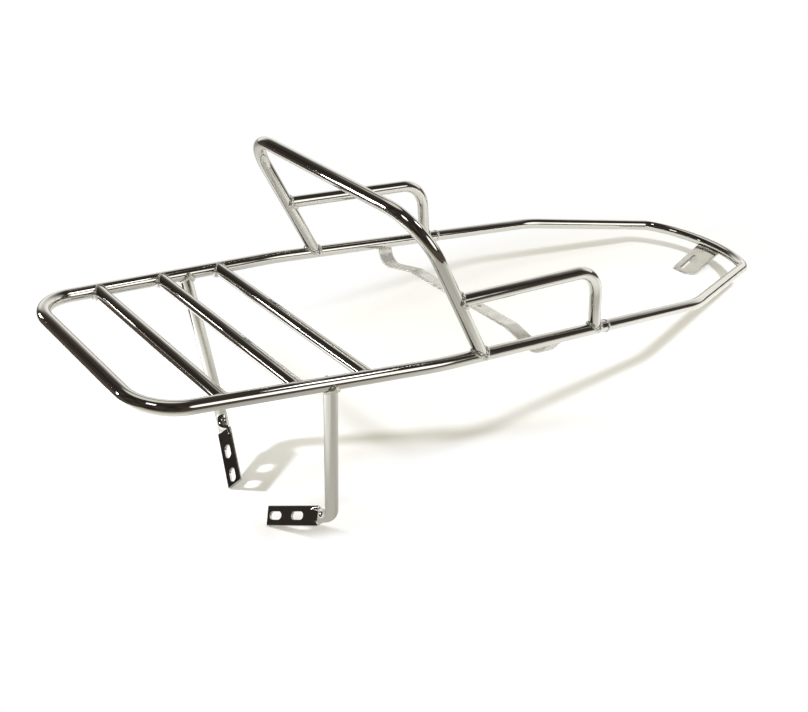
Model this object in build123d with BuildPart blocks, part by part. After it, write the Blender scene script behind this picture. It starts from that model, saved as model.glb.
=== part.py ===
"""Chrome-plated tube rack for the seat and tail of a scooter.

A flat loop of tube runs round the seat and the tail. Slats cross its tail to make the deck, a back hoop
and two grab rails stand on it, two legs with flattened, slotted feet hang from it, and a strap and a
slotted tab take the bolts at the middle and at the nose. All pieces are welded together. Welds close
every tube at both ends, so the tubes are drawn as solid bars.

The rack stands as it is fitted, on the ends of its feet and of its tab. X points to the nose, Y to the
left and Z up, and the origin is on the ground below the middle of the loop. What lies in the loop is
drawn on the deck plane, whose own origin is the middle of the rear tube.
"""

import os
from math import asin, cos, pi, radians, sin, sqrt, tan

from build123d import *

# Tube and weld sizes, in millimetres
tube_diameter = 14.0
tube_wall = 1.5
slat_diameter = 13.5
weld_size = 2.5

# The thin tips of a coped bar are cut back this far from the centre line of the bar that carries it
cope_trim = 1.0

# Loop, in plan on the deck plane, along the centre line of its tube
deck_length = 964.0
rear_half_width = 120.5
rear_corner_radius = 45.0
side_bend_from_rear = 302.0
side_bend_radius = 300.0
seat_half_width = 149.5
joint_from_rear = 557.0
front_bend_from_nose = 231.0
front_bend_radius = 110.0
nose_taper = 17.6
nose_arc_radius = 130.0
nose_corner_radius = 32.0

# Height of the loop's centre line above the ground, at its two ends
rear_height = 271.0
nose_height = 25.0

# Bead round the two joints between the rear and the nose tube
joint_bead_width = 6.0
joint_bead_crown_width = 2.5
joint_bead_height = 1.2

# Deck slats
slat_from_rear = 72.5
slat_pitch = 74.5
slat_names = ["slat_rear", "slat_middle", "slat_front"]

# Back hoop, with its lean measured from upright and how far each leg leans in at the top
hoop_from_rear = 362.0
hoop_height = 190.0
hoop_leg_lean_in = 0.5
hoop_corner_radius = 50.0
hoop_lean = 21.6

# Grab rails, from the hoop's legs to upright posts on the loop
rail_up_hoop = 83.0
rail_post_from_rear = 538.0
rail_post_height = 77.5
rail_bend_radius = 40.0

# Legs and their flattened feet, with the feet's yaw, dip and roll in degrees
leg_from_rear = 178.5
leg_bend_half_width = 111.0
leg_bend_radius = 17.0
foot_reach = 89.5
foot_straight_length = 0.5
foot_flare_length = 8.0
foot_yaw = 23.7
foot_dip = 21.1
foot_roll = 44.5
foot_slot_length = 17.0
foot_slot_width = 9.0
foot_slot_pitch = 31.0
foot_slot_from_end = 11.8

# Strap across the loop
strap_from_rear = 472.0
strap_width = 20.0
strap_thickness = 3.0
strap_level_half_width = 85.0
strap_level_depth = 13.5
strap_hang_depth = 28.5
strap_hang_radius = 21.0
strap_kink_radius = 5.0
strap_hole_diameter = 6.5
strap_hole_half_pitch = 31.0

# Tab under the nose, with its slope measured from level
tab_slope = 17.0
tab_drop = 5.5
tab_thickness = 3.0
tab_left_reach = 11.5
tab_right_reach = 25.5
tab_right_reach_at_end = 23.0
tab_chamfer_length = 8.0
tab_chamfer_width = 12.0
tab_corner_radius = 3.0
tab_slot_length = 33.0
tab_slot_width = 6.5
tab_slot_from_end = 3.5

# The deck plane slopes down from the rear tube to the nose
deck_slope = asin((rear_height - nose_height) / deck_length)
deck = Plane(
    origin=(-deck_length * cos(deck_slope) / 2, 0, rear_height),
    x_dir=(cos(deck_slope), 0, -sin(deck_slope)),
    z_dir=(sin(deck_slope), 0, cos(deck_slope)),
)


def on_deck(from_rear, across):
    """A point given by its place on the deck plane."""
    return deck.from_local_coords(Vector(from_rear, across))


def side_half_width(from_rear):
    """Half the loop's width on the flared sides behind the side bends."""
    share = min(from_rear / side_bend_from_rear, 1)
    return rear_half_width + (seat_half_width - rear_half_width) * share


def rod(path, diameter):
    """A round bar that follows a path."""
    with BuildPart() as bar:
        with BuildSketch(Plane(path @ 0, z_dir=path % 0)):
            Circle(diameter / 2)
        sweep(path=path)
    return bar.part


def coped(piece, carriers):
    """A piece cut to fit round the bars that carry it."""
    with BuildPart() as fitted:
        add(piece)
        for carrier in carriers:
            add(carrier, mode=Mode.SUBTRACT)
    return fitted.part


def weld(carrier, carrier_grown, piece, piece_grown):
    """The bead in the corner round a seam: a sleeve on the piece, kept where it lies close on the carrier."""
    with BuildPart() as bead:
        add(piece_grown)
        add(piece, mode=Mode.SUBTRACT)
        add(carrier_grown, mode=Mode.INTERSECT)
        add(carrier, mode=Mode.SUBTRACT)
    return bead.part


def left_of(piece):
    """The left-hand copy of a right-hand piece."""
    with BuildPart() as copy:
        mirror(piece, about=Plane.XZ)
    return copy.part


grown_diameter = tube_diameter + 2 * weld_size
pieces = {}

# Rear tube of the loop, bent to a U with flared sides
with BuildLine(deck) as rear_line:
    FilletPolyline(
        (joint_from_rear, -seat_half_width),
        (side_bend_from_rear, -seat_half_width),
        (0, -rear_half_width),
        (0, rear_half_width),
        (side_bend_from_rear, seat_half_width),
        (joint_from_rear, seat_half_width),
        radius=[side_bend_radius, rear_corner_radius, rear_corner_radius, side_bend_radius],
    )
rear_bar = rod(rear_line.wire(), tube_diameter)
rear_bar_grown = rod(rear_line.wire(), grown_diameter)
pieces["rear_loop"] = rear_bar

# Nose tube of the loop: parallel sides, a taper that meets the bowed front in a corner
front_bend_from_rear = deck_length - front_bend_from_nose
taper_direction = (cos(radians(nose_taper)), sin(radians(nose_taper)))
nose_arc_centre = deck_length - nose_arc_radius
taper_offset = (front_bend_from_rear - nose_arc_centre, -seat_half_width)
taper_along = -(taper_offset[0] * taper_direction[0] + taper_offset[1] * taper_direction[1])
taper_aside = taper_offset[0] * taper_direction[1] - taper_offset[1] * taper_direction[0]
taper_length = taper_along + sqrt(nose_arc_radius**2 - taper_aside**2)
nose_corner = (
    front_bend_from_rear + taper_length * taper_direction[0],
    -seat_half_width + taper_length * taper_direction[1],
)
nose_corner_left = (nose_corner[0], -nose_corner[1])
with BuildLine(deck) as nose_line:
    FilletPolyline(
        (joint_from_rear, -seat_half_width),
        (front_bend_from_rear, -seat_half_width),
        nose_corner,
        radius=front_bend_radius,
    )
    ThreePointArc(nose_corner, (deck_length, 0), nose_corner_left)
    FilletPolyline(
        nose_corner_left,
        (front_bend_from_rear, seat_half_width),
        (joint_from_rear, seat_half_width),
        radius=front_bend_radius,
    )
    fillet(nose_line.vertices().sort_by_distance(on_deck(deck_length, 0))[:2], radius=nose_corner_radius)
nose_bar = rod(nose_line.wire(), tube_diameter)
nose_bar_grown = rod(nose_line.wire(), grown_diameter)
pieces["nose_loop"] = nose_bar

# Beads round the joints between the two tubes of the loop
tube_side = seat_half_width + tube_diameter / 2
with BuildPart() as joint_welds:
    with BuildSketch(deck):
        with BuildLine():
            Polyline(
                (joint_from_rear - joint_bead_width / 2, tube_side),
                (joint_from_rear - joint_bead_crown_width / 2, tube_side + joint_bead_height),
                (joint_from_rear + joint_bead_crown_width / 2, tube_side + joint_bead_height),
                (joint_from_rear + joint_bead_width / 2, tube_side),
                close=True,
            )
        make_face()
    revolve(axis=Axis(on_deck(joint_from_rear, seat_half_width), deck.x_dir))
    mirror(about=Plane.XZ)
pieces["loop_joint_welds"] = joint_welds.part

# Deck slats, coped between the sides of the rear tube
for count, name in enumerate(slat_names):
    from_rear = slat_from_rear + count * slat_pitch
    reach = side_half_width(from_rear)
    with BuildLine() as slat_line:
        Line(on_deck(from_rear, cope_trim - reach), on_deck(from_rear, reach - cope_trim))
    slat_bar = rod(slat_line.wire(), slat_diameter)
    slat_bar_grown = rod(slat_line.wire(), slat_diameter + 2 * weld_size)
    pieces[name] = coped(slat_bar, [rear_bar])
    pieces[name + "_welds"] = weld(rear_bar, rear_bar_grown, slat_bar, slat_bar_grown)

# Back hoop, leaning back over the deck
hoop_plane = Plane(
    origin=on_deck(hoop_from_rear, 0),
    x_dir=(0, 1, 0),
    z_dir=(cos(radians(hoop_lean)), 0, sin(radians(hoop_lean))),
)
hoop_top_half_width = seat_half_width - hoop_leg_lean_in
with BuildLine(hoop_plane) as hoop_line:
    FilletPolyline(
        (-seat_half_width, cope_trim),
        (-hoop_top_half_width, hoop_height),
        (hoop_top_half_width, hoop_height),
        (seat_half_width, cope_trim),
        radius=hoop_corner_radius,
    )
hoop_bar = rod(hoop_line.wire(), tube_diameter)
hoop_bar_grown = rod(hoop_line.wire(), grown_diameter)
pieces["back_hoop"] = coped(hoop_bar, [rear_bar])
pieces["hoop_welds"] = weld(rear_bar, rear_bar_grown, hoop_bar, hoop_bar_grown)

# Grab rails, from the hoop's legs forward and down to the loop
rail_half_width = seat_half_width - hoop_leg_lean_in * rail_up_hoop / hoop_height
rail_start = hoop_plane.from_local_coords(Vector(-rail_half_width, rail_up_hoop))
rail_post_foot = on_deck(rail_post_from_rear, -seat_half_width)
rail_corner = rail_post_foot + Vector(0, 0, rail_post_height)
with BuildLine() as rail_line:
    FilletPolyline(
        rail_start + (rail_corner - rail_start).normalized() * cope_trim,
        rail_corner,
        rail_post_foot + Vector(0, 0, cope_trim),
        radius=rail_bend_radius,
    )
rail_bar = rod(rail_line.wire(), tube_diameter)
rail_bar_grown = rod(rail_line.wire(), grown_diameter)
with BuildPart() as rail_welds:
    add(weld(hoop_bar, hoop_bar_grown, rail_bar, rail_bar_grown))
    add(weld(rear_bar, rear_bar_grown, rail_bar, rail_bar_grown))
pieces["grab_rail_right"] = coped(rail_bar, [rear_bar, hoop_bar])
pieces["grab_rail_right_welds"] = rail_welds.part
pieces["grab_rail_left"] = left_of(pieces["grab_rail_right"])
pieces["grab_rail_left_welds"] = left_of(pieces["grab_rail_right_welds"])

# Legs: upright tubes, leaning in to a bend, and pressed flat beyond it into a slotted foot
foot_thickness = 2 * tube_wall
foot_width = pi * (tube_diameter - tube_wall) / 2 + tube_wall
yaw, dip, roll = radians(foot_yaw), radians(foot_dip), radians(foot_roll)
foot_direction = Vector(-cos(dip) * sin(yaw), cos(dip) * cos(yaw), -sin(dip))
foot_level = Vector(-cos(yaw), -sin(yaw), 0)
foot_normal = foot_level * cos(roll) + foot_direction.cross(foot_level) * sin(roll)
foot_end_height = cos(dip) * (foot_width * cos(roll) + foot_thickness * sin(roll)) / 2
leg_top = on_deck(leg_from_rear, -side_half_width(leg_from_rear))
leg_bend = Vector(leg_top.X, -leg_bend_half_width, foot_end_height + foot_reach * sin(dip))
leg_turn = radians((leg_bend - leg_top).get_angle(foot_direction))
flare_start = leg_bend_radius * tan(leg_turn / 2) + foot_straight_length
flare_end = flare_start + foot_flare_length
foot_section = Plane(leg_bend, x_dir=foot_direction.cross(foot_normal), z_dir=foot_direction)
foot_face = Plane(leg_bend, x_dir=foot_direction, z_dir=foot_normal)
with BuildLine() as leg_line:
    FilletPolyline(
        leg_top + (leg_bend - leg_top).normalized() * cope_trim,
        leg_bend,
        leg_bend + foot_direction * flare_start,
        radius=leg_bend_radius,
    )
leg_bar = rod(leg_line.wire(), tube_diameter)
leg_bar_grown = rod(leg_line.wire(), grown_diameter)
with BuildPart() as leg:
    add(leg_bar)
    with BuildSketch(foot_section.offset(flare_start)):
        Circle(tube_diameter / 2)
    with BuildSketch(foot_section.offset(flare_end)):
        SlotOverall(foot_width, foot_thickness)
    loft()
    with BuildSketch(foot_section.offset(flare_end)):
        SlotOverall(foot_width, foot_thickness)
    extrude(amount=foot_reach - flare_end)
    with BuildSketch(foot_face):
        with Locations(
            (foot_reach - foot_slot_from_end, 0),
            (foot_reach - foot_slot_from_end - foot_slot_pitch, 0),
        ):
            SlotOverall(foot_slot_length, foot_slot_width)
    extrude(amount=foot_thickness, both=True, mode=Mode.SUBTRACT)
with BuildPart() as leg_welds:
    add(weld(rear_bar, rear_bar_grown, leg_bar, leg_bar_grown))
    mirror(about=Plane.XZ)
pieces["leg_right"] = coped(leg.part, [rear_bar])
pieces["leg_left"] = left_of(pieces["leg_right"])
pieces["leg_welds"] = leg_welds.part

# Strap: a flat strip hung under the loop, with a raised level middle that takes two bolts
strap_plane = Plane(on_deck(strap_from_rear, 0), x_dir=(0, 1, 0), z_dir=deck.x_dir)
with BuildLine(strap_plane) as strap_line:
    FilletPolyline(
        (-seat_half_width, 0),
        (-seat_half_width, -strap_hang_depth),
        (-strap_level_half_width, -strap_level_depth),
        (strap_level_half_width, -strap_level_depth),
        (seat_half_width, -strap_hang_depth),
        (seat_half_width, 0),
        radius=[strap_hang_radius, strap_kink_radius, strap_kink_radius, strap_hang_radius],
    )


def strip(path, width, thickness):
    """A flat strip that follows a path, with its width along the deck."""
    with BuildPart() as flat:
        with BuildSketch(Plane(path @ 0, x_dir=deck.x_dir, z_dir=path % 0)):
            Rectangle(width, thickness)
        sweep(path=path)
    return flat.part


strap_strip = strip(strap_line.wire(), strap_width, strap_thickness)
strap_grown = strip(strap_line.wire(), strap_width + 2 * weld_size, strap_thickness + 2 * weld_size)
with BuildPart() as strap:
    add(strap_strip)
    with BuildSketch(deck.offset(-strap_level_depth)):
        with Locations((strap_from_rear, -strap_hole_half_pitch), (strap_from_rear, strap_hole_half_pitch)):
            Circle(strap_hole_diameter / 2)
    extrude(amount=strap_thickness, both=True, mode=Mode.SUBTRACT)
pieces["seat_strap"] = coped(strap.part, [rear_bar])

# Tab: a slotted plate under the nose that slopes back to the ground
slope = radians(tab_slope)
tab_plane = Plane(
    origin=on_deck(deck_length, 0) + Vector(sin(slope), 0, -cos(slope)) * tab_drop,
    x_dir=(-cos(slope), 0, -sin(slope)),
    z_dir=(-sin(slope), 0, cos(slope)),
)
tab_length = (tab_plane.origin.Z - cos(slope) * tab_thickness / 2) / sin(slope)


def tab_plate(growth):
    """The tab's outline as a plate, grown sideways and upwards and left flat below."""
    with BuildPart() as plate:
        with BuildSketch(tab_plane.offset(-tab_thickness / 2)) as outline:
            with BuildLine():
                Polyline(
                    (0, -tab_left_reach),
                    (tab_length, -tab_left_reach),
                    (tab_length, tab_right_reach_at_end - tab_chamfer_width),
                    (tab_length - tab_chamfer_length, tab_right_reach_at_end),
                    (0, tab_right_reach),
                    close=True,
                )
            make_face()
            end_corner = outline.vertices().sort_by_distance(
                tab_plane.from_local_coords(Vector(tab_length, -tab_left_reach))
            )[0]
            fillet(end_corner, radius=tab_corner_radius)
            if growth:
                offset(amount=growth)
        extrude(amount=tab_thickness + growth)
    return plate.part


with BuildPart() as tab:
    add(tab_plate(0))
    with BuildSketch(tab_plane):
        with Locations((tab_length - tab_slot_from_end - tab_slot_length / 2, 0)):
            SlotOverall(tab_slot_length, tab_slot_width)
    extrude(amount=tab_thickness, both=True, mode=Mode.SUBTRACT)
pieces["nose_tab"] = coped(tab.part, [nose_bar])

# Beads that hold the strap and the tab
with BuildPart() as bracket_welds:
    add(weld(rear_bar, rear_bar_grown, strap_strip, strap_grown))
    add(weld(nose_bar, nose_bar_grown, tab_plate(0), tab_plate(weld_size)))
pieces["bracket_welds"] = bracket_welds.part

os.makedirs("parts", exist_ok=True)
for name, piece in pieces.items():
    piece.label = name
    export_step(piece, f"parts/{name}.step")
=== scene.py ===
import bmesh
import bpy
import numpy as np
from mathutils import Matrix


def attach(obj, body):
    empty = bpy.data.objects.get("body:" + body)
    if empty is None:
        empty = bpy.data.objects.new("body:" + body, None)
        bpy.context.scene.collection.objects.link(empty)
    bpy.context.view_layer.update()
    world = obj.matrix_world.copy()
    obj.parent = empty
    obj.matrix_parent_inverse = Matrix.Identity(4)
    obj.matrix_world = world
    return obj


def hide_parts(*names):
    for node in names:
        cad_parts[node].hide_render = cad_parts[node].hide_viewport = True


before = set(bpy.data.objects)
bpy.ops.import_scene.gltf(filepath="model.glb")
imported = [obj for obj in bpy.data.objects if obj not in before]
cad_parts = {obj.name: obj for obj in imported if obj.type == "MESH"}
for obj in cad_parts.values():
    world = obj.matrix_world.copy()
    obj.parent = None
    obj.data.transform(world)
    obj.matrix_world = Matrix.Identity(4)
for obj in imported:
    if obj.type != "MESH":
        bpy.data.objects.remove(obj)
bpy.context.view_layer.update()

# Sizes of the rack, in metres and degrees, as its drawing gives them
TUBE, SLAT, TUBE_WALL = 0.007, 0.00675, 0.0015
DECK_LENGTH, REAR_HEIGHT, NOSE_HEIGHT = 0.964, 0.271, 0.025
REAR_HALF, SEAT_HALF = 0.1205, 0.1495
REAR_CORNER, SIDE_BEND, SIDE_BEND_AT = 0.045, 0.300, 0.302
JOINT_AT = 0.557
FRONT_BEND_AT, FRONT_BEND, NOSE_TAPER = 0.733, 0.110, 17.6
NOSE_ARC, NOSE_CORNER = 0.130, 0.032
SLATS_AT = {"slat_rear": 0.0725, "slat_middle": 0.147, "slat_front": 0.2215}
HOOP_AT, HOOP_HEIGHT, HOOP_LEAN_IN, HOOP_CORNER, HOOP_LEAN = 0.362, 0.190, 0.0005, 0.050, 21.6
RAIL_UP, POST_AT, POST_HEIGHT, RAIL_BEND = 0.083, 0.538, 0.0775, 0.040
LEG_AT, LEG_BEND_HALF, LEG_BEND = 0.1785, 0.111, 0.017
FOOT_REACH, FOOT_STRAIGHT, FOOT_FLARE = 0.0895, 0.0005, 0.008
FOOT_YAW, FOOT_DIP, FOOT_ROLL = 23.7, 21.1, 44.5
FOOT_THICKNESS, FOOT_WIDTH = 2 * TUBE_WALL, np.pi * (2 * TUBE - TUBE_WALL) / 2 + TUBE_WALL
SLOT_LENGTH, SLOT_WIDTH, SLOT_PITCH, SLOT_FROM_END = 0.017, 0.009, 0.031, 0.0118
STRAP_AT, STRAP_WIDTH, STRAP_THICKNESS = 0.472, 0.020, 0.003
STRAP_LEVEL_HALF, STRAP_LEVEL, STRAP_HANG = 0.085, 0.0135, 0.0285
STRAP_HANG_BEND, STRAP_KINK_BEND = 0.021, 0.005
HOLE, HOLE_HALF_PITCH = 0.00325, 0.031
TAB_SLOPE, TAB_DROP, TAB_THICKNESS = 17.0, 0.0055, 0.003
TAB_LEFT, TAB_RIGHT, TAB_RIGHT_END = 0.0115, 0.0255, 0.023
TAB_CHAMFER_LENGTH, TAB_CHAMFER_WIDTH, TAB_CORNER = 0.008, 0.012, 0.003
TAB_SLOT, TAB_SLOT_WIDTH, TAB_SLOT_FROM_END = 0.033, 0.0065, 0.0035

# Sizes that only the drawn surfaces have
FOOT_FLAT, FOOT_RIM, FLARE_POWER = 0.0206, 0.0006, 1.7
STRIP_ROUND, TAB_BLUNT, STRAP_TOP, HOLE_CELL = 0.0005, 0.0008, 0.0068, 0.012

# Beads: half their height and width at each seam, and what makes them uneven
WELD = 0.0023
HOOP_WELD, RAIL_WELD, LEG_WELD, STRAP_WELD = 1.3 * WELD, 1.15 * WELD, 1.3 * WELD, 0.6 * WELD
TAB_WELD_HIGH, TAB_WELD_WIDE = 0.55 * WELD, 0.7 * WELD
JOINT_WELD_HIGH, JOINT_WELD_WIDE = 0.0008, 0.0018
SLAT_WELDS, THINNING = {-1: 0.0017, 1: 0.0029}, 0.68
DROP_PITCH, BEAD_LEVEL, DROP_SWELL = 0.008, 0.90, 0.14
SLOW_WANDER, SLOW_WAVES, SLOW_SHIFT = 0.15, 2, 2.3
QUICK_WANDER, QUICK_WAVES, QUICK_SHIFT = 0.05, 5, 1.7
END_POWER, END_LEAST = 6, 0.01
STRAP_SEAM_POWER = 0.4
TAB_SEAM_REACH, TAB_SEAM_HALVINGS = 0.02, 40

# Heat tint: its reach, and where its spots lie from the hoop's feet, the tab and the strap
HEAT_REACH = 0.007
HOOP_HEAT_BEHIND, HOOP_HEAT_ABOVE = 0.011, 0.007
TAB_HEAT_BEHIND, TAB_HEAT_BELOW = 0.010, 0.004
STRAP_HEAT_INSIDE, STRAP_HEAT_BELOW = 0.002, 0.016

# Fineness of the surfaces
AROUND, BEAD_AROUND, SEAM_STEPS = 40, 16, 96
CELLS_ACROSS, CELLS_ALONG, FIELD_RINGS = 16, 14, 4
RIM_POINTS, WALL_POINTS, FLARE_STEPS, STRAP_END_POINTS = 5, 3, 12, 20
RUN_STEP, TURN_STEP, SHARP_ANGLE = 0.006, np.radians(3.0), np.radians(35)
COPE_ZONE, MERGE, CLOSE = 0.020, 1e-6, 1e-4

# The two sides, right and then left, and the way up
SIDES = (-1, 1)
OTHER_SIDE = np.array([1, -1, 1])
UP = np.array([0, 0, 1.0])


def unit(vector):
    """A direction of length one."""
    vector = np.asarray(vector, float)
    return vector / np.linalg.norm(vector)


def stepped(start, axes, *steps):
    """A start, plus a step along each of its axes."""
    for step, axis in zip(np.broadcast_arrays(*steps), axes):
        start = start + step[..., None] * axis
    return start


SLOPE = np.arcsin((REAR_HEIGHT - NOSE_HEIGHT) / DECK_LENGTH)
DECK_X = np.array([np.cos(SLOPE), 0, -np.sin(SLOPE)])
DECK_Y = np.array([0.0, 1.0, 0.0])
DECK_Z = np.array([np.sin(SLOPE), 0, np.cos(SLOPE)])
DECK_START = np.array([-DECK_LENGTH * np.cos(SLOPE) / 2, 0, REAR_HEIGHT])


def on_deck(from_rear, across, up=0.0):
    """The deck's start, plus steps along it, across it and out of it."""
    return stepped(DECK_START, (DECK_X, DECK_Y, DECK_Z), from_rear, across, up)


def side_half(from_rear):
    """Half the loop's width: straight-line growth up to the side bends, then constant."""
    return REAR_HALF + (SEAT_HALF - REAR_HALF) * min(from_rear / SIDE_BEND_AT, 1)


def run_and_turn(start, heading, normal, moves):
    """A flat path of straight runs and round turns: along a run the point moves by its heading, and in a
    turn by radius times sine along the heading and radius times one minus cosine to the left."""
    spot, heading, normal = np.asarray(start, float), unit(heading), unit(normal)
    spots, headings = [], []
    for run, radius, angle in moves:
        if run > 0:
            steps = np.linspace(0, run, max(int(np.ceil(run / RUN_STEP)), 1) + 1)[:-1]
            spots.append(spot + steps[:, None] * heading)
            headings.append(np.repeat(heading[None], len(steps), 0))
            spot = spot + run * heading
        if angle:
            left = np.cross(normal, heading) * np.sign(angle)
            turn = np.linspace(0, abs(angle), max(int(np.ceil(abs(angle) / TURN_STEP)), 1) + 1)
            sine, cosine = np.sin(turn)[:, None], np.cos(turn)[:, None]
            spots.append((spot + radius * (sine * heading + (1 - cosine) * left))[:-1])
            headings.append((cosine * heading + sine * left)[:-1])
            spot = spot + radius * (sine[-1] * heading + (1 - cosine[-1]) * left)
            heading = cosine[-1] * heading + sine[-1] * left
    return np.vstack(spots + [spot[None]]), np.vstack(headings + [heading[None]])


def bent_line(corners, radii, normal):
    """Runs and turns along straight lines whose inner corners are rounded: each turn takes the radius times
    the tangent of half its angle off the two runs that it joins."""
    corners, normal = np.asarray(corners, float), unit(normal)
    steps = np.diff(corners, axis=0)
    lengths = np.linalg.norm(steps, axis=1)
    headings = steps / lengths[:, None]
    sines = np.cross(headings[:-1], headings[1:]) @ normal
    angles = np.arctan2(sines, (headings[:-1] * headings[1:]).sum(1))
    cuts = np.concatenate([[0], radii * np.tan(np.abs(angles) / 2), [0]])
    runs = lengths - cuts[:-1] - cuts[1:]
    moves = list(zip(runs, np.append(radii, 0), np.append(angles, 0)))
    return run_and_turn(corners[0], headings[0], normal, moves)


def lengths_along(line):
    """The length of a line of points up to each of them."""
    return np.concatenate([[0], np.cumsum(np.linalg.norm(np.diff(line, axis=0), axis=1))])


def cope_shift(points, heading, spot, direction, radius, side):
    """How far each point slides along a heading to reach a round bar: the root of a square equation in the
    slide, from the distance to the bar's centre line."""
    offset = points - spot
    along = heading @ direction
    square = 1 - along**2
    linear = offset @ heading - (offset @ direction) * along
    constant = (offset**2).sum(-1) - (offset @ direction) ** 2 - radius**2
    root = np.sqrt(np.clip(linear**2 - square * constant, 0, None))
    return (-linear + side * root) / square


lean = np.radians(HOOP_LEAN)
hoop_up = np.array([-np.sin(lean), 0, np.cos(lean)])
hoop_normal = np.array([np.cos(lean), 0, np.sin(lean)])
hoop_feet = [on_deck(HOOP_AT, sign * SEAT_HALF) for sign in SIDES]
hoop_tops = []
for foot, sign in zip(hoop_feet, SIDES):
    hoop_tops.append(foot + HOOP_HEIGHT * hoop_up - sign * HOOP_LEAN_IN * DECK_Y)
hoop_path = bent_line(
    [hoop_feet[0], hoop_tops[0], hoop_tops[1], hoop_feet[1]], np.full(2, HOOP_CORNER), hoop_normal
)
HEAT_SPOTS = np.array([
    *[foot - HOOP_HEAT_BEHIND * DECK_X + HOOP_HEAT_ABOVE * DECK_Z for foot in hoop_feet],
    on_deck(DECK_LENGTH - TAB_HEAT_BEHIND, -TAB_RIGHT, -TAB_HEAT_BELOW),
    on_deck(STRAP_AT, SEAT_HALF - STRAP_HEAT_INSIDE, -STRAP_HEAT_BELOW),
])


def heat_at(points):
    """How strongly welding has coloured each point: a bell curve of its distance from the nearest hot
    spot."""
    apart = np.linalg.norm(points[:, None] - HEAT_SPOTS[None], axis=2)
    return np.exp(-((apart / HEAT_REACH) ** 2)).max(1)


def make_piece(name, patches, node, material):
    """One mesh object at the origin from its patches, merged where they meet and turned to face outwards.
    It stands for a node, which it hides, takes the finish it is given, and hangs from the root body."""
    counts = np.cumsum([0] + [len(spots) for spots, _ in patches])
    points = np.vstack([spots for spots, _ in patches])
    faces = []
    for (_, corners), count in zip(patches, counts):
        faces += (np.asarray(corners) + count).tolist()
    mesh = bpy.data.meshes.new(name)
    mesh.from_pydata(points.tolist(), [], faces)
    shape = bmesh.new()
    shape.from_mesh(mesh)
    bmesh.ops.remove_doubles(shape, verts=shape.verts, dist=MERGE)
    bmesh.ops.recalc_face_normals(shape, faces=shape.faces)
    shape.to_mesh(mesh)
    shape.free()
    spots = np.empty(len(mesh.vertices) * 3, np.float32)
    mesh.vertices.foreach_get("co", spots)
    heat = mesh.attributes.new("heat", "FLOAT", "POINT")
    heat.data.foreach_set("value", heat_at(spots.reshape(-1, 3)).astype(np.float32))
    mesh.shade_smooth()
    mesh.set_sharp_from_angle(angle=SHARP_ANGLE)
    piece = bpy.data.objects.new(name, mesh)
    bpy.context.collection.objects.link(piece)
    mesh.materials.append(material)
    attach(piece, "root")
    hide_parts(node)


def patch(points, wrap=False):
    """A grid of points and its four-cornered faces, closed round its columns where it wraps."""
    rows, columns = points.shape[:2]
    faces_across = columns if wrap else columns - 1
    row, column = np.meshgrid(np.arange(rows - 1), np.arange(faces_across), indexing="ij")
    here, ahead = row * columns, (row + 1) * columns
    beside = (column + 1) % columns
    corners = np.stack([here + column, ahead + column, ahead + beside, here + beside], -1)
    return points.reshape(-1, 3), corners.reshape(-1, 4)


def lid(ring):
    """A fan from the middle of a ring to its points."""
    column = np.arange(len(ring))
    corners = np.stack([np.full(len(ring), len(ring)), column, (column + 1) % len(ring)], 1)
    return np.vstack([ring, ring.mean(0)]), corners


def full_turn(steps):
    """Evenly spaced angles once round."""
    return np.linspace(0, 2 * np.pi, steps, endpoint=False)


def coped(points, spots, heading, carrier, index):
    """Rings near one end of a bar, slid along it on to the surface of the bar that carries it."""
    spot, direction, radius = carrier
    side = 1 if index == 0 else -1
    reach = cope_shift(points[index], heading, spot, direction, radius, side) * side
    place = ((points - points[index]) @ heading) * side
    straight = (np.linalg.norm(spots - spots[index], axis=1) < COPE_ZONE)[:, None]
    slide = np.where(straight, np.clip(reach - place, 0, None), 0) * side
    return points + slide[..., None] * heading


def tube(path, normal, radius, start=None, end=None):
    """A circle carried along a flat path: centre, plus the radius times cosine along the path's normal and
    sine along its left. The end rings slide on to the bars that carry them, and fans close both ends."""
    spots, headings = path
    normal = unit(normal)
    lefts = np.cross(normal, headings)
    turn = full_turn(AROUND)
    ring = np.cos(turn)[None, :, None] * normal + np.sin(turn)[None, :, None] * lefts[:, None]
    points = spots[:, None] + radius * ring
    if start is not None:
        points = coped(points, spots, headings[0], start, 0)
    if end is not None:
        points = coped(points, spots, headings[-1], end, -1)
    return [patch(points, True), lid(points[0]), lid(points[-1])]


def holed(boundary, hole_from, hole_to, radius):
    """A flat field round a slot, in rings from its edge out to a boundary: the edge point of a boundary
    point is its nearest point on the slot's middle line, plus the radius towards it."""
    middle = np.stack([np.clip(boundary[:, 0], hole_from, hole_to), np.zeros(len(boundary))], 1)
    away = boundary - middle
    edge = middle + radius * away / np.linalg.norm(away, axis=1)[:, None]
    share = np.linspace(0, 1, FIELD_RINGS + 1)[:, None, None]
    return edge + share * (boundary - edge)


def oblong(low, high, half):
    """The points round a rectangle, along its two long sides and across its ends."""
    along = np.linspace(low, high, CELLS_ALONG + 1)
    across = np.linspace(-half, half, CELLS_ACROSS + 1)
    sides = [(along, -half), (high, across), (along[::-1], half), (low, across[::-1])]
    return np.vstack([np.stack(np.broadcast_arrays(*side), 1)[:-1] for side in sides])


def slotted(place, field, half_thick):
    """A holed field on each face of a plate, and the wall of its slot."""
    depth = np.linspace(-half_thick, half_thick, WALL_POINTS)[:, None]
    patches = [patch(place(field[:1, :, 0], field[:1, :, 1], depth), True)]
    for level in (-half_thick, half_thick):
        patches.append(patch(place(field[..., 0], field[..., 1], level), True))
    return patches


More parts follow.
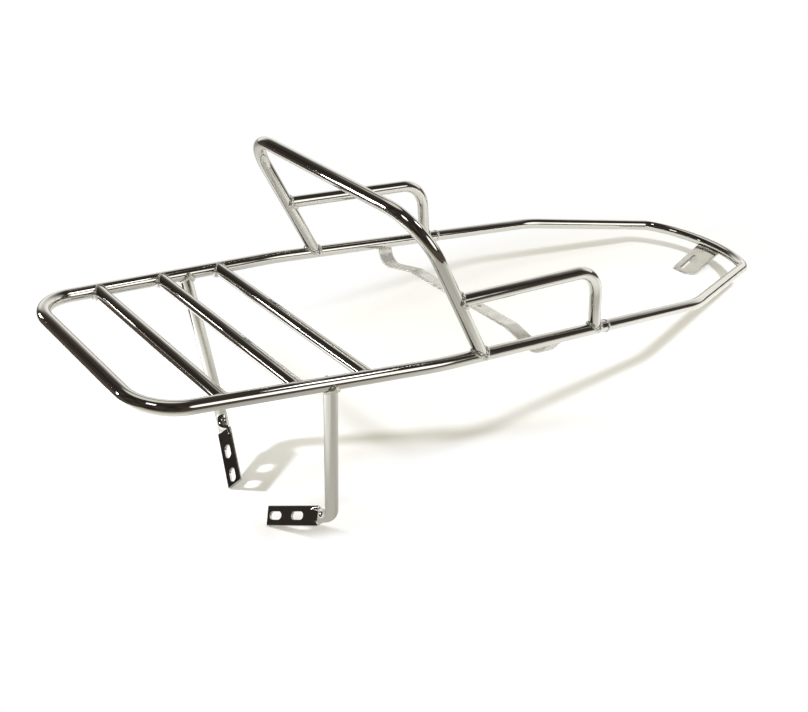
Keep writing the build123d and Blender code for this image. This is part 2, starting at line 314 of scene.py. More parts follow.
def flat_bar(place, spans, half_flat, rim, half_thick):
    """A flat bar from its own length, width and thickness: rounded rims along both sides, flats between
    them, and where a span has a slot, a holed field on each face and a wall through."""
    stations = []
    for low, high, *slot in spans:
        stations.append(np.linspace(low, high, CELLS_ALONG + 1) if slot else np.array([low, high]))
    across = np.linspace(-half_flat, half_flat, CELLS_ACROSS + 1)
    whole = np.unique(np.concatenate(stations))
    patches = []
    for side in SIDES:
        patches.append(patch(place(whole[:, None], side * (half_flat + rim[None, :, 0]), rim[None, :, 1])))
    for (low, high, *slot), station in zip(spans, stations):
        if slot:
            patches += slotted(place, holed(oblong(low, high, half_flat), *slot), half_thick)
            continue
        for level in (-half_thick, half_thick):
            patches.append(patch(place(station[:, None], across[None], level)))
    return patches


def section(half_flat, rim):
    """The outline of a flat bar's cross-section, round from the start of its upper flat."""
    across = np.linspace(half_flat, -half_flat, CELLS_ACROSS + 1)
    upper = np.stack([across, np.full(len(across), rim[0, 1])], 1)
    left = np.stack([-half_flat - rim[:, 0], rim[:, 1]], 1)
    half = np.vstack([upper[:-1], left[:-1]])
    return np.vstack([half, -half])


def strip_rim(half_thick):
    """The edge of a strip, from its upper face to its lower one: a quarter circle, a wall and a quarter
    circle."""
    quarter = np.linspace(0, np.pi / 2, RIM_POINTS)
    upper = STRIP_ROUND * np.stack([np.sin(quarter), np.cos(quarter)], 1) + [0, half_thick - STRIP_ROUND]
    return np.vstack([upper, upper[::-1] * [1, -1]])


def seam(spot, direction, radius, carrier_direction, carrier_radius):
    """The line where a round bar meets its carrier: a circle round the bar, slid along it on to the
    carrier."""
    turn = full_turn(SEAM_STEPS)[:, None]
    normal = unit(np.cross(direction, carrier_direction))
    ring = spot + radius * (np.cos(turn) * normal + np.sin(turn) * np.cross(direction, normal))
    slide = cope_shift(ring, direction, spot, carrier_direction, carrier_radius, 1)
    return ring + slide[:, None] * direction


def bead(line, middle, high, wide, phase, closed=True, thin=None):
    """A weld bead: an ellipse carried along a seam. Its size is a level, plus a swell by the sine of each
    drop of the weld, plus a slow and a quick sine along the seam. It shrinks towards a thin side, and an
    open bead shrinks to its ends."""
    if closed:
        ahead = np.roll(line, -1, 0) - np.roll(line, 1, 0)
    else:
        ahead = np.gradient(line, axis=0)
    ahead = ahead / np.linalg.norm(ahead, axis=1)[:, None]
    out = line - middle
    out = out - (out * ahead).sum(1)[:, None] * ahead
    out = out / np.linalg.norm(out, axis=1)[:, None]
    side = np.cross(ahead, out)
    gone = lengths_along(line)
    whole = gone[-1] + (np.linalg.norm(line[0] - line[-1]) if closed else 0)
    drops = max(round(whole / DROP_PITCH), 1)
    turn = 2 * np.pi * gone / whole
    size = BEAD_LEVEL + DROP_SWELL * np.abs(np.sin(drops * turn / 2 + phase))
    size = size + SLOW_WANDER * np.sin(SLOW_WAVES * turn + SLOW_SHIFT * phase)
    size = size + QUICK_WANDER * np.sin(QUICK_WAVES * turn + QUICK_SHIFT * phase)
    if thin is not None:
        size = size * (1 - THINNING * np.clip(out @ thin, 0, 1))
    if not closed:
        size = size * np.sqrt(np.clip(1 - (2 * gone / whole - 1) ** END_POWER, END_LEAST, 1))
    around = full_turn(BEAD_AROUND)[None, :, None]
    ring = high * np.cos(around) * out[:, None] + wide * np.sin(around) * side[:, None]
    points = line[:, None] + size[:, None, None] * ring
    if closed:
        return [patch(np.concatenate([points, points[:1]]), True)]
    return [patch(points, True), lid(points[0]), lid(points[-1])]


# Finishes

def worked(tree, kind, one, two):
    """Two numbers or sockets put together by a math node of some kind."""
    made = tree.nodes.new("ShaderNodeMath")
    made.operation = kind
    for place, value in zip(made.inputs, (one, two)):
        if isinstance(value, (int, float)):
            place.default_value = value
        else:
            tree.links.new(value, place)
    return made.outputs[0]


def ranged(tree, value, start, end, first=0.0, last=1.0, smooth=False):
    """A value that goes from first to last as another goes from start to end, in a straight line or by an
    S-curve."""
    made = tree.nodes.new("ShaderNodeMapRange")
    made.interpolation_type = "SMOOTHSTEP" if smooth else "LINEAR"
    for key, number in zip(("From Min", "From Max", "To Min", "To Max"), (start, end, first, last)):
        made.inputs[key].default_value = number
    tree.links.new(value, made.inputs["Value"])
    return made.outputs["Result"]


def towards(tree, vector, direction):
    """How far a vector goes along a direction."""
    made = tree.nodes.new("ShaderNodeVectorMath")
    made.operation = "DOT_PRODUCT"
    tree.links.new(vector, made.inputs[0])
    made.inputs[1].default_value = direction
    return made.outputs["Value"]


def mixed(tree, share, one, two):
    """One colour that turns into another by a share, in the colour sockets of a mix node."""
    made = tree.nodes.new("ShaderNodeMix")
    made.data_type = "RGBA"
    tree.links.new(share, made.inputs[0])
    for place, colour in zip((made.inputs[6], made.inputs[7]), (one, two)):
        if isinstance(colour, tuple):
            place.default_value = (*colour, 1)
        else:
            tree.links.new(colour, place)
    return made.outputs[2]


def layered(tree, share, under, over):
    """One shader that turns into another by a share."""
    made = tree.nodes.new("ShaderNodeMixShader")
    tree.links.new(share, made.inputs["Fac"])
    tree.links.new(under, made.inputs[1])
    tree.links.new(over, made.inputs[2])
    return made.outputs[0]


CLEAN, STRAW, PITTED = (0.63, 0.623, 0.585), (0.32, 0.20, 0.09), (0.22, 0.19, 0.16)
PIT_DULLING, PIT_DEPTH, PIT_STAIN = 0.12, 0.04, 0.5


def plating_group():
    """Chrome plating: cloudy polish that changes the gloss, sparse pits, slow waves left by the buffing,
    and straw-coloured blotches where welding has heated it."""
    group = bpy.data.node_groups.new("plating", "ShaderNodeTree")
    for name in ("Gloss", "Heat"):
        group.interface.new_socket(name, in_out="INPUT", socket_type="NodeSocketFloat")
    group.interface.new_socket("Colour", in_out="OUTPUT", socket_type="NodeSocketColor")
    for name in ("Roughness", "Height"):
        group.interface.new_socket(name, in_out="OUTPUT", socket_type="NodeSocketFloat")
    nodes, links = group.nodes, group.links
    into, out = nodes.new("NodeGroupInput"), nodes.new("NodeGroupOutput")
    place = nodes.new("ShaderNodeTexCoord")

    def noise(scale, detail):
        """Cloudy noise over the object."""
        made = nodes.new("ShaderNodeTexNoise")
        made.inputs["Scale"].default_value = scale
        made.inputs["Detail"].default_value = detail
        links.new(place.outputs["Object"], made.inputs["Vector"])
        return made.outputs["Fac"]

    clouds = ranged(group, noise(scale=90, detail=4), start=0.35, end=0.75, first=0.6, last=1.8)
    pits = ranged(group, noise(scale=900, detail=2), start=0.72, end=0.80)
    waves = noise(scale=34, detail=0.4)
    gloss = worked(group, "MULTIPLY", clouds, into.outputs["Gloss"])
    dulled = worked(group, "ADD", gloss, worked(group, "MULTIPLY", pits, PIT_DULLING))
    links.new(dulled, out.inputs["Roughness"])
    height = worked(group, "SUBTRACT", waves, worked(group, "MULTIPLY", pits, PIT_DEPTH))
    links.new(height, out.inputs["Height"])
    patchy = ranged(group, noise(scale=260, detail=3), start=0.35, end=0.65, first=0.2, last=1.0)
    bloom = worked(group, "MULTIPLY", into.outputs["Heat"], patchy)
    tint = mixed(group, bloom, CLEAN, STRAW)
    stained = mixed(group, worked(group, "MULTIPLY", pits, PIT_STAIN), tint, PITTED)
    links.new(stained, out.inputs["Colour"])
    return group


plating = plating_group()


def chrome(name, gloss, metal, bump):
    """Chrome with its own gloss, share of bare metal under a pale haze, and depth of bump."""
    material = bpy.data.materials.new(name)
    material.use_nodes = True
    nodes, links = material.node_tree.nodes, material.node_tree.links
    shader = nodes["Principled BSDF"]
    shader.inputs["Metallic"].default_value = metal
    skin = nodes.new("ShaderNodeGroup")
    skin.node_tree = plating
    skin.inputs["Gloss"].default_value = gloss
    heat = nodes.new("ShaderNodeAttribute")
    heat.attribute_name = "heat"
    links.new(heat.outputs["Fac"], skin.inputs["Heat"])
    relief = nodes.new("ShaderNodeBump")
    relief.inputs["Strength"].default_value = 1.0
    relief.inputs["Distance"].default_value = bump
    links.new(skin.outputs["Height"], relief.inputs["Height"])
    links.new(skin.outputs["Colour"], shader.inputs["Base Color"])
    links.new(skin.outputs["Roughness"], shader.inputs["Roughness"])
    links.new(relief.outputs["Normal"], shader.inputs["Normal"])
    return material


tube_chrome = chrome("tube_chrome", gloss=0.035, metal=1.0, bump=0.00025)
strip_chrome = chrome("strip_chrome", gloss=0.26, metal=0.42, bump=0.00012)
weld_chrome = chrome("weld_chrome", gloss=0.15, metal=0.75, bump=0.0002)
tab_chrome = chrome("tab_chrome", gloss=0.20, metal=1.0, bump=0.00012)
for name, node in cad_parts.items():
    finish = {"seat_strap": strip_chrome, "nose_tab": tab_chrome}.get(name, tube_chrome)
    finish = weld_chrome if "weld" in name else finish
    node.data.materials.clear()
    node.data.materials.append(finish)


# Loop: a rear tube bent to a U, and a nose tube with a bowed front
rear_path = bent_line(
    on_deck(
        np.array([JOINT_AT, SIDE_BEND_AT, 0, 0, SIDE_BEND_AT, JOINT_AT]),
        np.array([-SEAT_HALF, -SEAT_HALF, -REAR_HALF, REAR_HALF, SEAT_HALF, SEAT_HALF]),
    ),
    np.array([SIDE_BEND, REAR_CORNER, REAR_CORNER, SIDE_BEND]),
    DECK_Z,
)
make_piece("rear_tube", tube(rear_path, DECK_Z, TUBE), "rear_loop", tube_chrome)

taper = np.radians(NOSE_TAPER)
taper_line = np.array([np.cos(taper), np.sin(taper)])
taper_left = np.array([-np.sin(taper), np.cos(taper)])
arc_centre = np.array([DECK_LENGTH - NOSE_ARC, 0])
from_arc = np.array([FRONT_BEND_AT, -SEAT_HALF]) + NOSE_CORNER * taper_left - arc_centre
back_along = from_arc @ taper_line
taper_run = -back_along + np.sqrt(back_along**2 - from_arc @ from_arc + (NOSE_ARC - NOSE_CORNER) ** 2)
corner_middle = from_arc + taper_run * taper_line
corner_at = np.arctan2(corner_middle[1], corner_middle[0])
corner_turn = corner_at + np.pi / 2 - taper
bend_cut = FRONT_BEND * np.tan(taper / 2)
side_run = FRONT_BEND_AT - JOINT_AT - bend_cut
nose_path = run_and_turn(
    on_deck(JOINT_AT, -SEAT_HALF),
    DECK_X,
    DECK_Z,
    [
        (side_run, FRONT_BEND, taper),
        (taper_run - bend_cut, NOSE_CORNER, corner_turn),
        (0, NOSE_ARC, -2 * corner_at),
        (0, NOSE_CORNER, corner_turn),
        (taper_run - bend_cut, FRONT_BEND, taper),
        (side_run, 0, 0),
    ],
)
make_piece("nose_tube", tube(nose_path, DECK_Z, TUBE), "nose_loop", tube_chrome)

beads = []
turn = full_turn(SEAM_STEPS)[:, None]
for count, sign in enumerate(SIDES):
    middle = on_deck(JOINT_AT, sign * SEAT_HALF)
    ring = middle + TUBE * (np.cos(turn) * DECK_Y + np.sin(turn) * DECK_Z)
    beads += bead(ring, middle, JOINT_WELD_HIGH, JOINT_WELD_WIDE, phase=0.4 + count)
make_piece("joint_beads", beads, "loop_joint_welds", weld_chrome)

# Slats across the tail
side_growth = SEAT_HALF - REAR_HALF
side_line = {sign: unit(SIDE_BEND_AT * DECK_X + sign * side_growth * DECK_Y) for sign in SIDES}
for count, (name, at) in enumerate(SLATS_AT.items()):
    ends = [on_deck(at, sign * side_half(at)) for sign in SIDES]
    slat_path = run_and_turn(ends[0], DECK_Y, DECK_Z, [(2 * side_half(at), 0, 0)])
    carriers = [(ends[0], side_line[-1], TUBE), (ends[1], side_line[1], TUBE)]
    make_piece(name + "_tube", tube(slat_path, DECK_Z, SLAT, *carriers), name, tube_chrome)
    beads = []
    for sign, end in zip(SIDES, ends):
        line = seam(end, -sign * DECK_Y, SLAT, side_line[sign], TUBE)
        size = SLAT_WELDS[sign]
        beads += bead(line, end, size, size, phase=1.3 * count + sign, thin=DECK_Z)
    make_piece(name + "_beads", beads, name + "_welds", weld_chrome)

# Back hoop
hoop_carriers = [(foot, DECK_X, TUBE) for foot in hoop_feet]
hoop_patches = tube(hoop_path, hoop_normal, TUBE, *hoop_carriers)
make_piece("hoop_tube", hoop_patches, "back_hoop", tube_chrome)
beads = []
for count, (foot, top) in enumerate(zip(hoop_feet, hoop_tops)):
    line = seam(foot, unit(top - foot), TUBE, DECK_X, TUBE)
    beads += bead(line, foot, HOOP_WELD, HOOP_WELD, phase=0.9 + 2 * count)
make_piece("hoop_beads", beads, "hoop_welds", weld_chrome)

# Grab rails
for count, (side, sign) in enumerate(zip(("right", "left"), SIDES)):
    rail = "grab_rail_" + side
    hoop_leg = unit(hoop_tops[count] - hoop_feet[count])
    rail_start = hoop_feet[count] + RAIL_UP * hoop_leg
    post_foot = on_deck(POST_AT, sign * SEAT_HALF)
    rail_corner = post_foot + np.array([0, 0, POST_HEIGHT])
    rail_normal = np.cross(rail_corner - rail_start, post_foot - rail_corner)
    rail_path = bent_line([rail_start, rail_corner, post_foot], np.array([RAIL_BEND]), rail_normal)
    carriers = [(rail_start, hoop_leg, TUBE), (post_foot, DECK_X, TUBE)]
    rail_patches = tube(rail_path, rail_normal, TUBE, *carriers)
    make_piece(rail + "_tube", rail_patches, rail, tube_chrome)
    line = seam(rail_start, unit(rail_corner - rail_start), TUBE, hoop_leg, TUBE)
    beads = bead(line, rail_start, RAIL_WELD, RAIL_WELD, phase=2.1 + count)
    line = seam(post_foot, UP, TUBE, DECK_X, TUBE)
    beads += bead(line, post_foot, RAIL_WELD, RAIL_WELD, phase=0.2 + count)
    make_piece(rail + "_beads", beads, rail + "_welds", weld_chrome)

# Legs: a tube, bent, flared and pressed flat into a slotted foot, drawn for the right side
leg_top = on_deck(LEG_AT, -side_half(LEG_AT))
yaw, dip, roll = np.radians([FOOT_YAW, FOOT_DIP, FOOT_ROLL])
foot_line = np.array([-np.cos(dip) * np.sin(yaw), np.cos(dip) * np.cos(yaw), -np.sin(dip)])
foot_level = np.array([-np.cos(yaw), -np.sin(yaw), 0])
foot_normal = foot_level * np.cos(roll) + np.cross(foot_line, foot_level) * np.sin(roll)
foot_across = np.cross(foot_line, foot_normal)
foot_end_height = np.cos(dip) * (FOOT_WIDTH * np.cos(roll) + FOOT_THICKNESS * np.sin(roll)) / 2
leg_bend = np.array([leg_top[0], -LEG_BEND_HALF, foot_end_height + FOOT_REACH * np.sin(dip)])
leg_line = unit(leg_bend - leg_top)
flare_start = LEG_BEND * np.tan(np.arccos(leg_line @ foot_line) / 2) + FOOT_STRAIGHT
flare_end = flare_start + FOOT_FLARE
leg_normal = unit(np.cross(leg_line, foot_line))
leg_corners = [leg_top, leg_bend, leg_bend + flare_start * foot_line]
spots, headings = bent_line(leg_corners, np.array([LEG_BEND]), leg_normal)
lefts = np.cross(leg_normal, headings)
half_thick = FOOT_THICKNESS / 2
half_flat = FOOT_FLAT / 2
half_turn = np.linspace(np.pi / 2, -np.pi / 2, RIM_POINTS)
foot_rim = np.stack([FOOT_RIM * np.cos(half_turn), half_thick * np.sin(half_turn)], 1)
pressed = section(half_flat, foot_rim)
gone = lengths_along(np.vstack([pressed, pressed[:1]]))
angle = np.pi / 2 + 2 * np.pi * (gone[:-1] - half_flat) / gone[-1]
twist = np.arctan2(foot_across @ np.cross(leg_normal, foot_line), foot_across @ leg_normal)
turned = (angle + twist)[None, :, None]
rings = spots[:, None] + TUBE * (np.cos(turned) * leg_normal + np.sin(turned) * lefts[:, None])
rings = coped(rings, spots, headings[0], (leg_top, side_line[-1], TUBE), 0)


def on_foot(along, across, out):
    """A place on the right foot, from the bend along it, across it and out of it."""
    return stepped(leg_bend, (foot_line, foot_across, foot_normal), along, across, out)


share = np.linspace(0, 1, FLARE_STEPS + 1)[1:, None, None]
flat = share**FLARE_POWER
pressing = (1 - flat) * TUBE * np.stack([np.cos(angle), np.sin(angle)], 1) + flat * pressed
pressing = on_foot(flare_start + share[..., 0] * FOOT_FLARE, pressing[..., 0], pressing[..., 1])
slot_spine = (SLOT_LENGTH - SLOT_WIDTH) / 2
slot_ends = FOOT_REACH - SLOT_FROM_END - SLOT_PITCH * np.array([1, 0])
slot_gap = slot_ends.mean()
slot_first = slot_ends[0] - (slot_gap - slot_ends[0])
spans = [(flare_end, slot_first)]
for low, high, middle in ((slot_first, slot_gap, slot_ends[0]), (slot_gap, FOOT_REACH, slot_ends[1])):
    spans.append((low, high, middle - slot_spine, middle + slot_spine, SLOT_WIDTH / 2))
leg_patches = [patch(np.concatenate([rings, pressing]), True), lid(rings[0])]
leg_patches += flat_bar(on_foot, spans, half_flat, foot_rim, half_thick)
leg_patches.append(lid(on_foot(FOOT_REACH, pressed[:, 0], pressed[:, 1])))
for side, mirror in (("right", np.ones(3)), ("left", OTHER_SIDE)):
    patches = [(points * mirror, faces) for points, faces in leg_patches]
    make_piece("leg_" + side + "_tube", patches, "leg_" + side, tube_chrome)
line = seam(leg_top, leg_line, TUBE, side_line[-1], TUBE)
beads = bead(line, leg_top, LEG_WELD, LEG_WELD, phase=0.5)
beads += [(points * OTHER_SIDE, faces) for points, faces in beads]
make_piece("leg_beads", beads, "leg_welds", weld_chrome)

# Strap: a strip hung under the loop, with two bolt holes in its level middle
strap_corners = on_deck(
    STRAP_AT,
    np.array([-SEAT_HALF, -SEAT_HALF, -STRAP_LEVEL_HALF, STRAP_LEVEL_HALF, SEAT_HALF, SEAT_HALF]),
    np.array([0, -STRAP_HANG, -STRAP_LEVEL, -STRAP_LEVEL, -STRAP_HANG, 0]),
)
strap_radii = np.array([STRAP_HANG_BEND, STRAP_KINK_BEND, STRAP_KINK_BEND, STRAP_HANG_BEND])
strap_spots, strap_headings = bent_line(strap_corners, strap_radii, DECK_X)
strap_gone = lengths_along(strap_spots)
strap_whole = strap_gone[-1]
strap_depths = (on_deck(STRAP_AT, 0) - strap_spots[:STRAP_END_POINTS]) @ DECK_Z
strap_cut = np.interp(STRAP_TOP, strap_depths, strap_gone[:STRAP_END_POINTS])


def along_strap(along, across, out):
    """A place on the strap, from its right end along it, across it and out of it."""
    along, across, out = np.broadcast_arrays(along, across, out)
    spot = np.stack([np.interp(along, strap_gone, values) for values in strap_spots.T], -1)
    heading = np.stack([np.interp(along, strap_gone, values) for values in strap_headings.T], -1)
    return spot + across[..., None] * DECK_X + out[..., None] * np.cross(DECK_X, heading)


hole_cells = []
for side in SIDES:
    hole_at = strap_whole / 2 + side * HOLE_HALF_PITCH
    hole_cells.append((hole_at - HOLE_CELL, hole_at + HOLE_CELL))
strap_thick = STRAP_THICKNESS / 2
strap_flat = STRAP_WIDTH / 2 - STRIP_ROUND
strap_rim = strip_rim(strap_thick)
marks = [strap_cut, *hole_cells[0], *hole_cells[1], strap_whole - strap_cut]
spans = []
for low, high in zip(marks[::2], marks[1::2]):
    inside = strap_gone[(strap_gone > low + CLOSE) & (strap_gone < high - CLOSE)]
    run = np.concatenate([[low], inside, [high]])
    spans += zip(run[:-1], run[1:])
spans += [(*cell, sum(cell) / 2, sum(cell) / 2, HOLE) for cell in hole_cells]
strap_patches = flat_bar(along_strap, spans, strap_flat, strap_rim, strap_thick)
strap_outline = section(strap_flat, strap_rim)
for end in (marks[0], marks[-1]):
    strap_patches.append(lid(along_strap(end, strap_outline[:, 0], strap_outline[:, 1])))
make_piece("strap_strip", strap_patches, "seat_strap", strip_chrome)

# Tab: a slotted plate that slopes back from under the nose
slope = np.radians(TAB_SLOPE)
tab_line = np.array([-np.cos(slope), 0, -np.sin(slope)])
tab_normal = np.array([-np.sin(slope), 0, np.cos(slope)])
tab_start = on_deck(DECK_LENGTH, 0) - TAB_DROP * tab_normal
tab_thick = TAB_THICKNESS / 2
tab_length = (tab_start[2] - np.cos(slope) * tab_thick) / np.sin(slope)


def on_tab(along, right, out):
    """A place on the tab, from the nose back along it, to the right and out of it."""
    return stepped(tab_start, (tab_line, -DECK_Y, tab_normal), along, right, out)


tab_corners = np.array([
    (0, -TAB_LEFT, 0),
    (tab_length, -TAB_LEFT, 0),
    (tab_length, TAB_RIGHT_END - TAB_CHAMFER_WIDTH, 0),
    (tab_length - TAB_CHAMFER_LENGTH, TAB_RIGHT_END, 0),
    (0, TAB_RIGHT, 0),
    (0, -TAB_LEFT, 0),
])
tab_radii = np.array([TAB_CORNER, TAB_BLUNT, TAB_BLUNT, TAB_BLUNT])
tab_outline, tab_headings = bent_line(tab_corners, tab_radii, UP)
tab_outline, tab_headings = tab_outline[:-1], tab_headings[:-1]
tab_inward = np.cross(UP, tab_headings)
slot_middle = tab_length - TAB_SLOT_FROM_END - TAB_SLOT / 2
tab_spine = (TAB_SLOT - TAB_SLOT_WIDTH) / 2
inner = (tab_outline + STRIP_ROUND * tab_inward)[:, :2]
field = holed(inner, slot_middle - tab_spine, slot_middle + tab_spine, TAB_SLOT_WIDTH / 2)
tab_rim = strip_rim(tab_thick)
edge = inner[None] - tab_rim[:, None, :1] * tab_inward[None, :, :2]
tab_patches = slotted(on_tab, field, tab_thick)
tab_patches.append(patch(on_tab(edge[..., 0], edge[..., 1], tab_rim[:, 1:]), True))
make_piece("tab_plate", tab_patches, "nose_tab", tab_chrome)

# Beads that hold the strap and the tab
beads = []
turn = full_turn(SEAM_STEPS)
along = STRAP_WIDTH / 2 * np.sign(np.cos(turn)) * np.abs(np.cos(turn)) ** STRAP_SEAM_POWER
across = strap_thick * np.sign(np.sin(turn)) * np.abs(np.sin(turn)) ** STRAP_SEAM_POWER
down = np.sqrt(TUBE**2 - across**2)
for count, sign in enumerate(SIDES):
    end = on_deck(STRAP_AT, sign * SEAT_HALF)
    line = stepped(end, (DECK_X, DECK_Y, -DECK_Z), along, across, down)
    beads += bead(line, line.mean(0), STRAP_WELD, STRAP_WELD, phase=1.1 + count)
right = np.linspace(-TAB_LEFT, TAB_RIGHT, SEAM_STEPS)
low, high = np.zeros(SEAM_STEPS), np.full(SEAM_STEPS, TAB_SEAM_REACH)
arc_middle = on_deck(DECK_LENGTH - NOSE_ARC, 0)
for _ in range(TAB_SEAM_HALVINGS):
    half = (low + high) / 2
    offset = on_tab(half, right, tab_thick) - arc_middle
    out = np.hypot(offset @ DECK_X, offset @ DECK_Y) - NOSE_ARC
    inside = np.hypot(out, offset @ DECK_Z) < TUBE
    low, high = np.where(inside, half, low), np.where(inside, high, half)
line = on_tab(low, right, tab_thick)
beads += bead(line, line + DECK_X, TAB_WELD_HIGH, TAB_WELD_WIDE, phase=0.7, closed=False)
make_piece("bracket_beads", beads, "bracket_welds", weld_chrome)

# Floor: its colours, the near edge of the shade, and the edges of the paper in the metal. Its dark colour
# serves both the table past the paper and the shade painted on the paper in the metal
FLOOR_HALF = 6.0
PAPER, PAPER_ROUGHNESS, TABLE_AND_PAINTED_SHADE = (0.94, 0.935, 0.92, 1), 0.9, (0.11, 0.085, 0.07, 1)
SHADE_SLANT, SHADE_START, SHADE_LEAST = 0.51, 0.115, 0.005
PAPER_TAIL, PAPER_SLANT, SLANT_FROM = 0.43, -3.0, 0.30
PAPER_NOSE, PAPER_NOSE_SIDE, PAPER_NEAR = 0.64, 0.15, -0.60


def floor_finish():
    """White paper: shaded near the rack so that it keeps the shadow, and plain white to the camera further
    out and past a slanting line on the near side, except in an oval round the near foot. In the metal, the
    paper carries painted shade that darkens it under the tail and on the near side, and past its edges a
    dark table goes on."""
    material = bpy.data.materials.new("paper")
    material.use_nodes = True
    tree = material.node_tree
    nodes, links = tree.nodes, tree.links
    shader = nodes["Principled BSDF"]
    shader.inputs["Base Color"].default_value = PAPER
    shader.inputs["Roughness"].default_value = PAPER_ROUGHNESS
    shader.inputs["Specular IOR Level"].default_value = 0.0
    place = nodes.new("ShaderNodeTexCoord").outputs["Object"]
    along, across = towards(tree, place, (1, 0, 0)), towards(tree, place, (0, 1, 0))

    def oval(middle, turn, half):
        """The distance from an oval's middle, as a share of its half axes."""
        made = nodes.new("ShaderNodeMapping")
        made.vector_type = "TEXTURE"
        made.inputs["Location"].default_value = (*middle, 0)
        made.inputs["Rotation"].default_value = (0, 0, turn)
        made.inputs["Scale"].default_value = (*half, 1)
        links.new(place, made.inputs["Vector"])
        reach = nodes.new("ShaderNodeVectorMath")
        reach.operation = "LENGTH"
        links.new(made.outputs["Vector"], reach.inputs[0])
        return reach.outputs["Value"]

    round_rack = oval(middle=(0.05, 0.01), turn=0.0, half=(0.54, 0.31))
    fade = ranged(tree, round_rack, start=0.68, end=1.02, smooth=True)
    edge = worked(tree, "ADD", worked(tree, "MULTIPLY", along, SHADE_SLANT), SHADE_START)
    edge = worked(tree, "MAXIMUM", edge, SHADE_LEAST)
    near = ranged(tree, worked(tree, "ADD", across, edge), start=0.012, end=-0.028, smooth=True)
    round_foot = oval(middle=(-0.296, -0.051), turn=-0.70, half=(0.081, 0.036))
    off_foot = ranged(tree, round_foot, start=0.60, end=1.15, smooth=True)
    fade = worked(tree, "MAXIMUM", fade, worked(tree, "MULTIPLY", near, off_foot))

    slant = worked(tree, "MAXIMUM", worked(tree, "SUBTRACT", SLANT_FROM, across), 0.0)
    slant = worked(tree, "MULTIPLY", slant, PAPER_SLANT)
    past_tail = worked(tree, "SUBTRACT", slant, worked(tree, "ADD", along, PAPER_TAIL))
    past_nose = worked(tree, "SUBTRACT", along, PAPER_NOSE)
    past_nose = worked(tree, "MINIMUM", past_nose, worked(tree, "SUBTRACT", PAPER_NOSE_SIDE, across))
    past_near = worked(tree, "SUBTRACT", PAPER_NEAR, across)
    past = worked(tree, "MAXIMUM", worked(tree, "MAXIMUM", past_tail, past_nose), past_near)
    table_and_painted_shade = ranged(tree, past, start=0.0, end=0.07, smooth=True)
    # Painted shade: as the metal sees it, the paper is darkened under the tail, stopping short of its end,
    # and on the near side, in place of the weaker light there
    painted_shade_under_tail = ranged(tree, along, start=0.10, end=-0.25, first=0.0, last=0.38, smooth=True)
    before_end = ranged(tree, along, start=-0.46, end=-0.36, smooth=True)
    painted_shade_under_tail = worked(tree, "MULTIPLY", painted_shade_under_tail, before_end)
    painted_shade_near_side = ranged(tree, across, start=-0.30, end=-0.46, first=0.0, last=0.42, smooth=True)
    table_and_painted_shade = worked(tree, "MAXIMUM", table_and_painted_shade, worked(tree, "MAXIMUM", painted_shade_under_tail, painted_shade_near_side))

    white = nodes.new("ShaderNodeEmission").outputs[0]
    # Dark colour for the table past the paper and for the painted shade on the paper, seen only in the
    # metal
    dark = nodes.new("ShaderNodeEmission")
    dark.inputs["Color"].default_value = TABLE_AND_PAINTED_SHADE
    ray = nodes.new("ShaderNodeLightPath")
    in_metal = worked(tree, "MULTIPLY", ray.outputs["Is Glossy Ray"], table_and_painted_shade)
    to_camera = worked(tree, "MULTIPLY", ray.outputs["Is Camera Ray"], fade)
    seen = layered(tree, in_metal, shader.outputs[0], dark.outputs[0])
    seen = layered(tree, to_camera, seen, white)
    links.new(seen, nodes["Material Output"].inputs["Surface"])
    return material


floor_mesh = bpy.data.meshes.new("floor")
floor_corners = [(-1, -1), (1, -1), (1, 1), (-1, 1)]
floor_points = [(FLOOR_HALF * along, FLOOR_HALF * across, 0) for along, across in floor_corners]
floor_mesh.from_pydata(floor_points, [], [(0, 1, 2, 3)])
floor = bpy.data.objects.new("floor", floor_mesh)
bpy.context.collection.objects.link(floor)
floor_mesh.materials.append(floor_finish())

# Room: where its white things stand, and its colours
BEHIND, WINDOW, PANEL = (0.766, 0.643, 0), (0.53, -0.80, 0.29), (0.31, 0.50, 0.81)
DARKEST, BROWN, MURK_SCALE = (0.020, 0.019, 0.018), (0.075, 0.058, 0.050), 3.0
SWEEP_WHITE, WINDOW_WHITE, PANEL_WHITE = (1.2, 1.18, 1.14), (1.9, 1.88, 1.82), (0.98, 0.95, 0.88)
EVEN_LIGHT, EVEN_STRENGTH = (1.0, 0.95, 0.77), 0.55


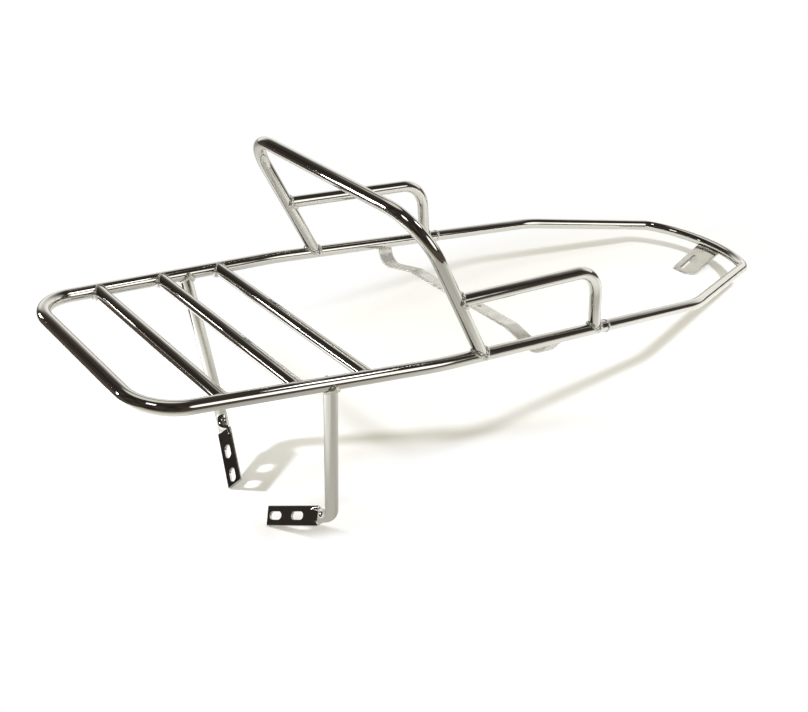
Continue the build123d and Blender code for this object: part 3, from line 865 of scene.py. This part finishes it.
def room():
    """White to the camera, and an even warm light on the rest. The metal sees a dark room, with a white
    sweep behind the rack that fades upwards, a window low on the right and a pale panel over the nose."""
    world = bpy.data.worlds.new("room")
    bpy.context.scene.world = world
    world.use_nodes = True
    tree = world.node_tree
    nodes, links = tree.nodes, tree.links
    nodes.clear()
    place = nodes.new("ShaderNodeTexCoord").outputs["Generated"]
    behind = ranged(tree, towards(tree, place, BEHIND), start=0.45, end=0.70, smooth=True)
    low = ranged(tree, towards(tree, place, UP), start=0.14, end=0.62, first=1.0, last=0.0, smooth=True)
    sweep = worked(tree, "MULTIPLY", behind, low)
    window = ranged(tree, towards(tree, place, WINDOW), start=0.955, end=0.982, smooth=True)
    panel = ranged(tree, towards(tree, place, PANEL), start=0.93, end=0.975, smooth=True)
    murk = nodes.new("ShaderNodeTexNoise")
    murk.inputs["Scale"].default_value = MURK_SCALE
    links.new(place, murk.inputs["Vector"])
    wall = mixed(tree, ranged(tree, murk.outputs["Fac"], start=0.36, end=0.66), DARKEST, BROWN)
    wall = mixed(tree, sweep, wall, SWEEP_WHITE)
    wall = mixed(tree, window, wall, WINDOW_WHITE)
    wall = mixed(tree, panel, wall, PANEL_WHITE)
    ray = nodes.new("ShaderNodeLightPath")

    def lit(colour, strength):
        """A background of one colour, or of a socket's."""
        made = nodes.new("ShaderNodeBackground")
        made.inputs["Strength"].default_value = strength
        if isinstance(colour, tuple):
            made.inputs["Color"].default_value = (*colour, 1)
        else:
            links.new(colour, made.inputs["Color"])
        return made.outputs[0]

    seen = layered(tree, ray.outputs["Is Glossy Ray"], lit(EVEN_LIGHT, EVEN_STRENGTH), lit(wall, 1.0))
    seen = layered(tree, ray.outputs["Is Camera Ray"], seen, lit((1, 1, 1), 1.0))
    end = nodes.new("ShaderNodeOutputWorld")
    links.new(seen, end.inputs["Surface"])


room()


def placed(right, up, back, spot):
    """The place of a lamp or camera from its own three directions and its spot."""
    return Matrix(np.stack([right, up, back, spot], 1).tolist() + [[0, 0, 0, 1]])


def softbox(name, spot, aim, size, power, mirrored, colour=(1, 1, 1), spread=180):
    """A square lamp of a colour at a spot, turned to its aim, that the metal mirrors or not. Its light goes
    out in a cone of the spread's degrees."""
    data = bpy.data.lights.new(name, "AREA")
    data.energy = power
    data.color = colour
    data.spread = np.radians(spread)
    data.size = size
    lamp = bpy.data.objects.new(name, data)
    lamp.visible_glossy = mirrored
    bpy.context.collection.objects.link(lamp)
    back = unit(np.asarray(spot) - np.asarray(aim))
    right = unit(np.cross(UP, back))
    lamp.matrix_world = placed(right, np.cross(back, right), back, spot)


# Two lamps that cast the shadows, and cards that make the streaks on the metal
LAMP_COLOUR = (0.97, 1.0, 1.09)
softbox(
    "lamp_nose", spot=(0.485, -0.43, 0.634), aim=(0.15, 0, 0),
    size=0.08, power=3.9, mirrored=False, colour=LAMP_COLOUR,
)
softbox(
    "lamp_tail", spot=(-0.70, 0.46, 0.34), aim=(-0.25, 0.05, 0.0),
    size=0.045, power=4.8, mirrored=False, colour=LAMP_COLOUR,
)
softbox("card_nose", spot=(0.48, -0.37, 1.03), aim=(-0.10, 0, 0.2), size=0.22, power=0.75, mirrored=True)
softbox("card_tail", spot=(-0.65, 0.47, 0.335), aim=(-0.30, 0, 0.2), size=0.09, power=0.28, mirrored=True)
softbox(
    "card_glare", spot=(-1.10, 0.80, 0.48), aim=(-0.23, -0.04, 0.34),
    size=0.42, power=0.09, mirrored=True, spread=12,
)
softbox("card_above", spot=(-0.95, -0.35, 1.50), aim=(-0.30, 0, 0.2), size=0.35, power=1.2, mirrored=True)

# Camera, with its shift in pixels of the picture
LENS, SENSOR_WIDTH, PICTURE_WIDTH, PICTURE_SHIFT = 47.25, 36, 808, -29.2
CAMERA_SPOT = (-0.7134, -0.8143, 0.8042)
CAMERA_AHEAD = (0.5024, 0.668, -0.5494)
CAMERA_RIGHT = np.array((0.7767, -0.6273, -0.0523))
camera_data = bpy.data.cameras.new("camera")
camera_data.lens = LENS
camera_data.sensor_width = SENSOR_WIDTH
camera_data.shift_y = PICTURE_SHIFT / PICTURE_WIDTH
camera = bpy.data.objects.new("camera", camera_data)
bpy.context.collection.objects.link(camera)
ahead = unit(CAMERA_AHEAD)
right = unit(CAMERA_RIGHT - ahead * (ahead @ CAMERA_RIGHT))
camera.matrix_world = placed(right, np.cross(right, ahead), -ahead, CAMERA_SPOT)
bpy.context.scene.camera = camera
bpy.context.scene.view_settings.view_transform = "Standard"
